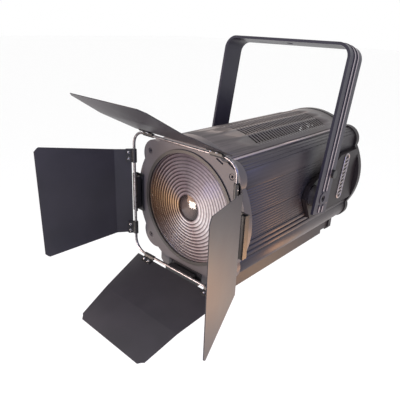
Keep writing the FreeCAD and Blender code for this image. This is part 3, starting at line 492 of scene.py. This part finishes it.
SIDES = ((1, "right"), (-1, "left"))
COVER_LOW, COVER_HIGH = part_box("top_cover")
SHELL_FRONT = (COVER_LOW.y - RODS.y) / MM
SHELL_REAR = (COVER_HIGH.y - RODS.y) / MM
print("shell runs from %.1f to %.1f mm behind the rods" % (SHELL_FRONT, SHELL_REAR))

# %% [markdown]
# **Side extrusions.** Each side of the body is one extrusion. From the top down its section has
# a proud bright rib, a lobe with fine lines, a long flat with a groove every few millimetres, a
# wider groove at mid height, three ribs and the lower lobe. The die makes them all in one pull,
# so the section is drawn once and carried from end to end.

# %% Section of the side
LOBE_X, LOBE_Z, LOBE_R = 81.8, 75.5, 26.4
FLAT_X, FLAT_TOP, FLAT_FOOT = 105.3, 63.4, -34
GROOVE_PITCH = 5.1
WALL = 2.2
LOWER_RIBS = (-40, -50, -60)
RIB_SHAPE = ((-0.8, 3.9), (1.5, 3.2), (2.0, 2.4), (2.0, -2.4), (1.5, -3.2), (-0.8, -3.9))


def side_section():
    """Outer line of the right-hand extrusion, from the cover down to the base, in mm."""
    line = arc(LOBE_X, LOBE_Z, LOBE_R - 2.2, 130, 104, 5)
    line += arc(LOBE_X, LOBE_Z, LOBE_R + 1.0, 101, 84, 4)
    line += arc(LOBE_X, LOBE_Z, LOBE_R - 1.6, 82, 79, 1)
    for top, bottom in ((77, 66), (63, 52), (49, 38)):
        line += arc(LOBE_X, LOBE_Z, LOBE_R, top, bottom, 3)
        line += arc(LOBE_X, LOBE_Z, LOBE_R - 0.8, bottom - 1, bottom - 2, 1)
    line += arc(LOBE_X, LOBE_Z, LOBE_R, 35, 27.2, 2)
    level = FLAT_TOP
    while level > FLAT_FOOT:
        deep, wide = (1.0, 2.6) if 8 < level < 14 else (0.55, 0.9)
        foot = level - GROOVE_PITCH
        line += [(FLAT_X, level), (FLAT_X, foot + wide), (FLAT_X - deep, foot + wide - 0.2),
                 (FLAT_X - deep, foot + 0.2)]
        level = foot
    for rib in LOWER_RIBS:
        line += [(FLAT_X + out, rib + up) for out, up in RIB_SHAPE]
    line += arc(LOBE_X, -LOBE_Z, LOBE_R, 27.2, -100, 12)
    return line


for side, hand in SIDES:
    name = "side_extrusion_" + hand
    rows = [[head(side * x, y, z) for x, z in side_section()]
            for y in (SHELL_FRONT, (SHELL_FRONT + SHELL_REAR) / 2, SHELL_REAR)]
    flank = grid(name + "_section", rows)
    if side < 0:
        flank.data.flip_normals()
    thicken(flank, WALL)
    dress(flank, ANODISED, "head", name, slot="anodised")
print("side section has", len(side_section()), "points")

# %% [markdown]
# **Top cover.** A curved sheet closes the top between the two lobes. Two fine grooves run along
# each edge, and its rear two thirds are pierced by rows of short cross slots that let the heat
# out. The sheet is a grid in angle and length: grooves are columns pushed in, slots are cells
# left open.

# %% Curved cover with slots
COVER_R, COVER_EDGE, COVER_SHEET = 124.0, 35.45, 1.8
EDGE_GROOVES = (-34.2, -31.8, 31.8, 34.2)
SLOT_PITCH, SLOT_HALF, SLOT_COLUMNS = 12.0, 4.9, range(-2, 3)
VENT_FIRST, VENT_PITCH, VENT_SLOT, VENT_ROWS = 120.0, 8.4, 4.9, 28


def cover_columns():
    """(angle from upright in degrees, radius in mm, whether slots start here) for each column."""
    columns = [(-COVER_EDGE, COVER_R, False), (COVER_EDGE, COVER_R, False)]
    for k in SLOT_COLUMNS:
        columns += [(k * SLOT_PITCH - SLOT_HALF, COVER_R, True), (k * SLOT_PITCH, COVER_R, True),
                    (k * SLOT_PITCH + SLOT_HALF, COVER_R, False)]
    for g in EDGE_GROOVES:
        columns += [(g - 0.45, COVER_R, False), (g - 0.25, COVER_R - 0.8, False),
                    (g + 0.25, COVER_R - 0.8, False), (g + 0.45, COVER_R, False)]
    return sorted(columns)


COLUMNS = cover_columns()
stations, slot_rows = [SHELL_FRONT], set()
for k in range(VENT_ROWS):
    slot_rows.add(len(stations))
    stations += [VENT_FIRST + VENT_PITCH * k, VENT_FIRST + VENT_PITCH * k + VENT_SLOT]
stations.append(SHELL_REAR)
rows = [[head(r * math.sin(math.radians(a)), y, r * math.cos(math.radians(a)))
         for a, r, pierced in COLUMNS] for y in stations]
open_cells = {(i, k) for i in slot_rows for k, (a, r, pierced) in enumerate(COLUMNS) if pierced}
cover = grid("top_cover_sheet", rows, skip=open_cells)
thicken(cover, COVER_SHEET)
dress(cover, COVER, "head", "top_cover", slot="shell_paint")
print(len(open_cells), "open cells in", len(stations) - 1, "rows")

# %% [markdown]
# **Threads of the cover.** The die leaves raised threads of metal, nearly a millimetre high, along
# the curved sheet. Those over the vent end ahead of it, and the outermost run from end to end.
# The proud rib of each side extrusion gets a thin strip whose bright colour is a painted highlight.

# %% Threads along the cover
THREAD_ANGLES = range(-33, 34, 6)
for a in THREAD_ANGLES:
    turned = math.radians(a)
    along_arc = Vector((math.cos(turned), 0, -math.sin(turned)))
    outward = Vector((math.sin(turned), 0, math.cos(turned)))
    foot = outward * (COVER_R - 0.2)
    shape = [foot - along_arc * 1.3, foot + outward * 1.1 - along_arc * 0.6,
             foot + outward * 1.1 + along_arc * 0.6, foot + along_arc * 1.3]
    ends = (SHELL_FRONT, VENT_FIRST - 6) if abs(a) < 30 else (SHELL_FRONT, SHELL_REAR)
    thread = grid("cover_thread_%d" % (a + 90), [[head(p.x, y, p.z) for p in shape] for y in ends])
    dress(thread, COVER, "head", "top_cover", slot="shell_paint")
# Painted highlight: a bright strip on each side's proud rib.
strip = arc(LOBE_X, LOBE_Z, LOBE_R + 1.3, 100, 85, 4)
for side, hand in SIDES:
    name = "side_extrusion_" + hand
    rib = grid(name + "_rib", [[head(side * x, y, z) for x, z in strip]
                               for y in (SHELL_FRONT, SHELL_REAR)])
    thicken(rib, 0.8)
    dress(rib, PAINTED_HIGHLIGHT, "head", name, slot="anodised")
print(len(THREAD_ANGLES), "threads and two ribs with painted highlights")

# %% [markdown]
# ## The lens
# A fresnel lens is a thick lens cut into rings and dropped flat. Its middle is a shallow dome.
# Each ring's face slopes a little more than the one inside it and ends in a steep step.

# %% Turned lens
SECTORS = 128
RING_STEP = 0.35
lens_front = (LENS_LOW.y - RODS.y) / MM
lens_back = (LENS_HIGH.y - RODS.y) / MM
profile = [(lens_front + 0.4 + 2.4 * (k / 6) ** 2, CORE * k / 6) for k in range(1, 7)]
for k in range(RINGS):
    inner, outer = CORE + RING_WIDTH * k, CORE + RING_WIDTH * (k + 1)
    fall = 1.6 + 2.4 * (k + 1) / RINGS
    for f in (0.0, 0.25, 0.5, 0.75, 1.0):
        profile.append((lens_front + 0.3 + fall * (0.65 * f + 0.35 * f * f),
                        inner + RING_STEP + (outer - inner - RING_STEP) * f))
profile += [(lens_front + 0.3, LENS_R - RIM + 0.3), (lens_front + 0.3, LENS_R),
            (lens_back, LENS_R), (lens_back, 0.5)]
rows = [[head(r * math.cos(math.tau * k / SECTORS), y, r * math.sin(math.tau * k / SECTORS))
         for k in range(SECTORS)] for y, r in profile]
lens = grid("lens_rings_of_glass", rows, closed=True)
bm = bmesh.new()
bm.from_mesh(lens.data)
bmesh.ops.holes_fill(bm, edges=[e for e in bm.edges if e.is_boundary], sides=SECTORS)
bmesh.ops.recalc_face_normals(bm, faces=bm.faces)
bm.to_mesh(lens.data)
bm.free()
smooth_by_angle(lens, 25)
dress(lens, GLASS, "head", "fresnel_lens", slot="lens_glass")
print("lens of", RINGS, "rings,", len(lens.data.polygons), "faces")

# %% [markdown]
# ## The barndoor
# The square frame is one length of 5 mm steel rod, bent at four corners and welded. A ring of
# points is carried round the path, always square to it, so the highlights run clean along it.

# %% Rod frame
INSET = 0.01
CORNER = 25.0
ROD_LOW, ROD_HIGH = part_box("rod_frame")
ROD_R = (ROD_HIGH.y - ROD_LOW.y) / 2 / MM - INSET
ROD_HALF = (ROD_HIGH.x - ROD_LOW.x) / 2 / MM - ROD_R - INSET
path = []
for quarter in range(4):
    base = 90 * quarter
    cx = (ROD_HALF - CORNER) * (1 if quarter in (0, 3) else -1)
    cz = (ROD_HALF - CORNER) * (1 if quarter in (0, 1) else -1)
    path += arc(cx, cz, CORNER, base, base + 90, 14)
rods = tube("rod_frame_bent", [head(x, 0, z) for x, z in path], Vector((0, 1, 0)), ROD_R)
dress(rods, ROD, "barndoor", "rod_frame", slot="rod_steel")
print("rod frame %.1f mm to the rod's centre, rod %.1f mm thick" % (ROD_HALF, 2 * ROD_R))

# %% [markdown]
# **Leaves.** Each leaf is 1.2 mm sheet with one soft bend across it and clipped outer corners.
# The left and right leaves flare outward and the top and bottom ones taper, so that the four
# close into a box. Each is drawn flat with the rod as its X axis, bent, and then turned to its
# place.

# %% Leaf shapes and places


def leaf_matrix(around, opening):
    """From a leaf's own axes (rod along X, leaf along -Y) to the model's."""
    side = Matrix.Rotation(math.radians(around), 4, "Y")
    out = side @ Vector((0, 0, ROD_HALF * MM))
    return (Matrix.Translation(head(0, 0, 0) + out) @ side
            @ Matrix.Rotation(math.radians(-opening), 4, "X"))


# Each leaf: its place, its shape, and how far its clips are from its middle.
LEAVES = {
    "left": (leaf_matrix(-90, 36.6), "side", 71.0), "right": (leaf_matrix(90, 43.9), "side", 71.0),
    "top": (leaf_matrix(0, 25.8), "top", 77.0), "bottom": (leaf_matrix(180, 17.4), "top", 77.0),
}
# Half widths at the hinge, the crease and the outer edge, in mm. The bend is in degrees.
SHAPES = {
    "side": dict(halves=(82.0, 82.6, 102.0), crease=35.7, length=171.4, bend=-21.5),
    "top": dict(halves=(107.6, 91.3, 80.7), crease=96.0, length=166.7, bend=5.5),
}
START, LEVEL, SHEET, CLIPPED = 4.8, 3.6, 1.2, 8.0
BEND_HALF, BEND_STEPS = 1.5, 12


def half_width(shape, s):
    """Half the leaf's width at a distance s along it, with a clipped outer corner."""
    hinge, middle_half, outer = shape["halves"]
    crease, length = shape["crease"], shape["length"]
    if s <= crease:
        wide = hinge + (middle_half - hinge) * (s - START) / (crease - START)
    else:
        wide = middle_half + (outer - middle_half) * (s - crease) / (length - crease)
    return min(wide, outer - CLIPPED + (length - s)) if s > length - CLIPPED else wide


def bent(shape, s):
    """(y, z) of the sheet's outer face at a distance s along it, the bend 3 mm long."""
    angle = math.radians(shape["bend"])
    top = LEVEL + SHEET
    past = s - shape["crease"]
    if past <= -BEND_HALF:
        return -s, top
    y, z = -(shape["crease"] - BEND_HALF), top
    travelled = past + BEND_HALF
    in_bend = min(travelled, 2 * BEND_HALF)
    for k in range(BEND_STEPS):
        here = angle * in_bend * (k + 0.5) / BEND_STEPS / (2 * BEND_HALF)
        y -= math.cos(here) * in_bend / BEND_STEPS
        z += math.sin(here) * in_bend / BEND_STEPS
    rest = max(0.0, travelled - 2 * BEND_HALF)
    return y - math.cos(angle) * rest, z + math.sin(angle) * rest


for name, (matrix, kind, clip_at) in LEAVES.items():
    shape = SHAPES[kind]
    length, crease = shape["length"], shape["crease"]
    marks = [START] + [crease + k * 0.5 for k in range(-3, 4)]
    marks += [crease + (length - CLIPPED - crease) * k / 6 for k in range(1, 7)]
    marks += [length - CLIPPED * (1 - k / 3) for k in range(1, 4)]
    rows = []
    for s in sorted(set(marks)):
        y, z = bent(shape, s)
        wide = half_width(shape, s) - 0.05
        rows.append([matrix @ Vector((wide * k / 8 * MM, y * MM, z * MM)) for k in range(-8, 9)])
    leaf = grid("leaf_%s_sheet" % name, rows)
    thicken(leaf, SHEET)
    if leaf.data.polygons[0].normal.dot(matrix.to_3x3() @ Vector((0, 0, 1))) < 0:
        leaf.data.flip_normals()
    bevel(leaf, 0.35)
    dress(leaf, LEAF, "%s leaf" % name, "leaf_" + name, slot="leaf_paint")
print("leaves:", ", ".join(LEAVES))

# %% [markdown]
# **Clips.** A strap of black sheet wraps the rod and both of its ends lie under the leaf, where
# two round-head screws clamp them. The strap's line is carried along the rod, and each screw is
# a turned dome with a cross cut into it.

# %% Straps and screws
STRAP_SHEET, STRAP_HALF = 0.95, 12.2
SCREW_R, SCREW_RISE, SCREW_FACE = 2.75, 1.75, 1.6


def strap(name, matrix, centre):
    """A strap round the rod whose two ends lie under the leaf."""
    outer = ROD_R + 1.05
    line = [(-15.0, LEVEL), (-9.0, LEVEL), (-2.0, LEVEL - 0.02)]
    line += [(outer * math.cos(a), outer * math.sin(a))
             for a in (math.radians(90 - k * 15) for k in range(0, 17))]
    line += [(-5.0, SCREW_FACE), (-14.2, SCREW_FACE)]
    rows = [[matrix @ Vector(((centre + x) * MM, y * MM, z * MM)) for y, z in line]
            for x in (-STRAP_HALF, -11.6, 11.6, STRAP_HALF)]
    return bevel(thicken(grid(name, rows), STRAP_SHEET), 0.25)


def screw_head(name, matrix, x, y):
    """A domed screw head with a cross recess, 5.5 mm across."""
    rows = []
    for k in range(9):
        climb = k / 8 * math.pi / 2
        r = max(SCREW_R * math.cos(climb), 0.05)
        z = SCREW_FACE - SCREW_RISE * math.sin(climb)
        ring = []
        for q in range(32):
            px, py = r * math.cos(math.tau * q / 32), r * math.sin(math.tau * q / 32)
            in_cross = min(abs(px), abs(py)) < 0.36 and max(abs(px), abs(py)) < 1.5
            ring.append(matrix @ Vector(((x + px) * MM, (y + py) * MM,
                                         (z + (0.7 if in_cross else 0)) * MM)))
        rows.append(ring)
    return grid(name, rows, closed=True)


for name, (matrix, kind, clip_at) in LEAVES.items():
    body = "%s leaf" % name
    for side in (-1, 1):
        tag = "%s_%s" % (name, "a" if side < 0 else "b")
        dress(strap("strap_" + tag, matrix, clip_at * side), BRACKET, body, "clips_" + name,
              slot="dark_metal")
        for shift in (-6, 6):
            screw = screw_head("clip_screw_%s_%d" % (tag, shift + 6), matrix,
                               clip_at * side + shift, -10.0)
            dress(screw, ZINC, body, "clips_" + name, slot="screw_steel")
print("straps and screw heads on", len(LEAVES), "leaves")

# %% [markdown]
# ** Ridge highlights.** The two ridges along the outside of the yoke catch the light, and that
# highlight is painted: a crowned strip a sixth of a millimetre high, in a bright colour, follows
# each ridge up one arm, over the bar and down the other, with gaps at the bolts and the hanging
# hole.

# %% Crests of the yoke's ridges
LEAN = math.atan2(-PIVOT.y, -PIVOT.z)
UP = Vector((0, math.sin(LEAN), math.cos(LEAN)))
ACROSS = Vector((0, math.cos(LEAN), -math.sin(LEAN)))
CREST, CREST_TOP, CREST_R = 138.0, 274.5, 26.2
CROWN = ((-1.9, 0.02), (-1.0, 0.16), (1.0, 0.16), (1.9, 0.02))


def crest(name, line, offset):
    """A thin crowned strip on a ridge. line holds (x, height, outward x, outward up) in mm."""
    rows = []
    for x, up_by, nx, nu in line:
        rows.append([PIVOT + Vector(((x + nx * rise) * MM, 0, 0)) + UP * (up_by + nu * rise) * MM
                     + ACROSS * (offset + w) * MM for w, rise in CROWN])
    # The strip's bright colour is a painted highlight.
    dress(grid(name, rows), PAINTED_HIGHLIGHT, "yoke", "yoke_bar", slot=SLOT["yoke_bar"])


for side, hand in reversed(SIDES):
    for lane, offset in (("front", -6.5), ("rear", 6.5)):
        corner_x, corner_up = CREST - CREST_R, CREST_TOP - CREST_R
        bend = [(side * (corner_x + CREST_R * math.cos(a)), corner_up + CREST_R * math.sin(a),
                 side * math.cos(a), math.sin(a)) for a in (math.radians(9 * k) for k in range(11))]
        climb = [(side * CREST, 15 + 20 * k, side, 0) for k in range(12)]
        level = [(side * (corner_x - k * 24), CREST_TOP, 0, 1) for k in range(1, 5)]
        crest("ridge_crest_%s_%s" % (lane, hand), climb + bend + level, offset)
        crest("ridge_end_%s_%s" % (lane, hand),
              [(side * CREST, u, side, 0) for u in (-26.5, -15)], offset)
screw_place = Matrix.Translation(PIVOT + Vector((137.0 * MM, 0, 0)) - UP * 9 * MM
                                 + ACROSS * 20 * MM) @ Matrix.Rotation(math.radians(-90), 4, "Y")
dress(screw_head("arm_screw_head", screw_place, 0, 0), ZINC, "yoke", "yoke_bar",
      slot=SLOT["yoke_bar"])
print("crests lean %.1f degrees with the yoke" % math.degrees(LEAN))

# %% [markdown]
# ** Louvres.** Each pod has a capsule-shaped recess with a rolled lip and ten bright slats pressed
# across it. The recess is a flat dark face, painted shade that stands in for its depth; the lip is
# a bent bar whose bright metal is a painted highlight; and every slat is a bar with round ends.

# %% Recess, lip and slats
TOP_Y, TOP_Z, FOOT_Y, FOOT_Z, RECESS_R = 361.5, 49.0, 348.7, -24.6, 8.75
LIP_R, SLAT_R, SLATS, SLAT_TILT = 1.9, 1.75, 10, 0.35
SLAT_REACH = RECESS_R - 2.6
SLAT_ARCH = ((-1.0, 0.0), (-0.85, 0.7), (0, 0.9), (0.85, 0.7), (1.0, 0.0))
POD_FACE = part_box("side_louvres")[1].x / MM
slope = math.atan2(TOP_Z - FOOT_Z, TOP_Y - FOOT_Y)
square = slope - math.pi / 2
capsule = [(TOP_Y + RECESS_R * math.cos(square + math.pi * k / 16),
            TOP_Z + RECESS_R * math.sin(square + math.pi * k / 16)) for k in range(17)]
capsule += [(FOOT_Y - RECESS_R * math.cos(square + math.pi * k / 16),
             FOOT_Z - RECESS_R * math.sin(square + math.pi * k / 16)) for k in range(17)]
run = Vector((0, math.cos(square + SLAT_TILT), math.sin(square + SLAT_TILT)))
for side, hand in SIDES:
    pod = "side_pod_" + hand
    face = side * (POD_FACE + LIP_R)
    rim = [head(face, y, z) for y, z in capsule]
    # Painted highlight: the lip is made in the bright slat metal for the light it catches.
    dress(tube("louvre_lip_highlight_" + pod, rim, Vector((1, 0, 0)), LIP_R), LOUVRE, "head", pod,
          slot=SLOT[pod])
    # Painted shade: a flat dark face at the lip's middle stands in for the shade inside the recess.
    recess_shade = grid("louvre_recess_shade_" + pod, [[head(face, y, z) for y, z in capsule[:17]],
                                       [head(face, y, z) for y, z in reversed(capsule[17:])]])
    dress(recess_shade, BRACKET, "head", "side_louvres", slot=SLOT["side_louvres"])
    for k in range(SLATS):
        f = (k + 0.2) / 9.4
        y, z = TOP_Y + (FOOT_Y - TOP_Y) * f, TOP_Z + (FOOT_Z - TOP_Z) * f
        slat = [head(face + side * lift, y, z) + run * SLAT_REACH * t * MM
                for t, lift in SLAT_ARCH]
        bar = tube("slat_%s_%d" % (pod, k), slat, Vector((0, -run.z, run.y)), SLAT_R,
                   closed=False)
        dress(bar, LOUVRE, "head", "side_louvres", slot=SLOT["side_louvres"])
print(SLATS, "slats a side at x = %.1f mm" % POD_FACE)

# %% [markdown]
# ## Floor, light and camera
# A pale floor lies 0.9 m under the hanging lamp, far enough for its shadow to melt away.

# %% Floor
ground = bpy.data.meshes.new("floor")
ground.from_pydata([(-30, -30, 0), (30, -30, 0), (30, 30, 0), (-30, 30, 0)], [], [(0, 1, 2, 3)])
floor = bpy.data.objects.new("floor", ground)
floor.location.z = CAD_BOX[0][2] - 0.9
bpy.context.scene.collection.objects.link(floor)
PALE, tree, shader, place = start("matt_white_paper", Roughness=0.9)
fibre = add(tree, "ShaderNodeTexNoise", values={"Scale": per_mm(3), "Detail": 3.0},
            links={"Vector": place})
paper = add(tree, "ShaderNodeValToRGB", links={"Fac": fibre.outputs["Fac"]},
            stops=((0.3, "#fafafa"), (0.7, "#ffffff")))
tree.links.new(paper.outputs["Color"], shader.inputs["Base Color"])
ground.materials.append(PALE)
print("floor at z = %.2f m" % floor.location.z)

# %% [markdown]
# **Light.** A white sky lights the lamp evenly. A large key panel models the front, a cool one
# tints the side, and a weak one lifts the back. Four small panels tint single surfaces: warm
# light reaches under the left leaf, the pod and the lower ribs, and cool light the left leaf's
# face. The last is small and bright, and makes the sparks in the glass.

# %% Sky and panels
world = bpy.data.worlds.new("white_sky")
bpy.context.scene.world = world
world.use_nodes = True
sky = world.node_tree.nodes["Background"]
sky.inputs["Color"].default_value = (1.0, 1.0, 1.0, 1.0)
sky.inputs["Strength"].default_value = 1.0
bpy.context.scene.view_settings.view_transform = "Standard"


def panel(name, at, aim, width, power, colour):
    """A soft rectangular lamp: width in metres, power in watts."""
    lamp = bpy.data.lights.new(name, "AREA")
    lamp.shape = "RECTANGLE"
    lamp.size, lamp.size_y = width, width * 0.7
    lamp.energy = power
    lamp.color = linear(colour)[:3]
    obj = bpy.data.objects.new(name, lamp)
    obj.location = at
    obj.rotation_euler = (Vector(aim) - Vector(at)).to_track_quat("-Z", "Y").to_euler()
    obj.visible_camera = False
    bpy.context.scene.collection.objects.link(obj)


centre = (Vector(CAD_BOX[0]) + Vector(CAD_BOX[1])) / 2
panel("key_panel", centre + Vector((-0.4, -1.5, 1.6)), centre, 1.2, 13, "#fff8f4")
panel("cool_panel", centre + Vector((1.5, -0.9, 0.55)), centre, 0.9, 9, "#8a98ff")
panel("back_panel", centre + Vector((-1.2, 1.2, 0.7)), centre, 1.0, 3, "#ffd9c8")
panel("left_low_panel", head(-360, -460, -60), head(-110, -140, 170), 0.25, 1.0, "#ffc6a0")
panel("left_leaf_panel", head(20, -560, 160), head(-230, -80, -20), 0.30, 0.45, "#8794ff")
panel("warm_panel", head(340, 200, -210), head(150, -60, -90), 0.20, 0.62, "#ffb87c")
panel("rib_panel", head(360, 420, -330), head(105, 200, -60), 0.3, 0.6, "#ffca8e")
panel("spark_lamp", head(-410, -650, -220), head(0, 0, 0), 0.22, 3.6, "#ffeee2")
print("eight panels round", [round(c, 3) for c in centre])

# %% [markdown]
# **Camera.** It stands to the front and right, a little above, and looks along the direction that
# its azimuth and elevation give. A roll of two degrees leans the view a little.

# %% Camera
azimuth, elevation, roll = (math.radians(a) for a in (42.408, 22.504, 2.134))
back = Vector((math.sin(azimuth) * math.cos(elevation), -math.cos(azimuth) * math.cos(elevation),
               math.sin(elevation)))
right = Vector((math.cos(azimuth), math.sin(azimuth), 0))
up = back.cross(right)
turned_right = right * math.cos(roll) + up * math.sin(roll)
turned_up = up * math.cos(roll) - right * math.sin(roll)
camera = bpy.data.objects.new("camera", bpy.data.cameras.new("camera"))
camera.data.sensor_width = 36
camera.data.lens = 38.945
camera.data.clip_start = 0.01
camera.matrix_world = Matrix.Translation(head(473.3, -468.0, 298.0)) @ Matrix(
    (turned_right, turned_up, back)).transposed().to_4x4()
bpy.context.scene.collection.objects.link(camera)
bpy.context.scene.camera = camera
print("camera at", [round(c, 3) for c in camera.location])

# %% [markdown]
# ## Sizes
# The CAD model's box is written out in millimetres.

# %% Sizes, then finish
print("CAD box in mm:", [round((b - a) / MM, 1) for a, b in zip(*CAD_BOX)])
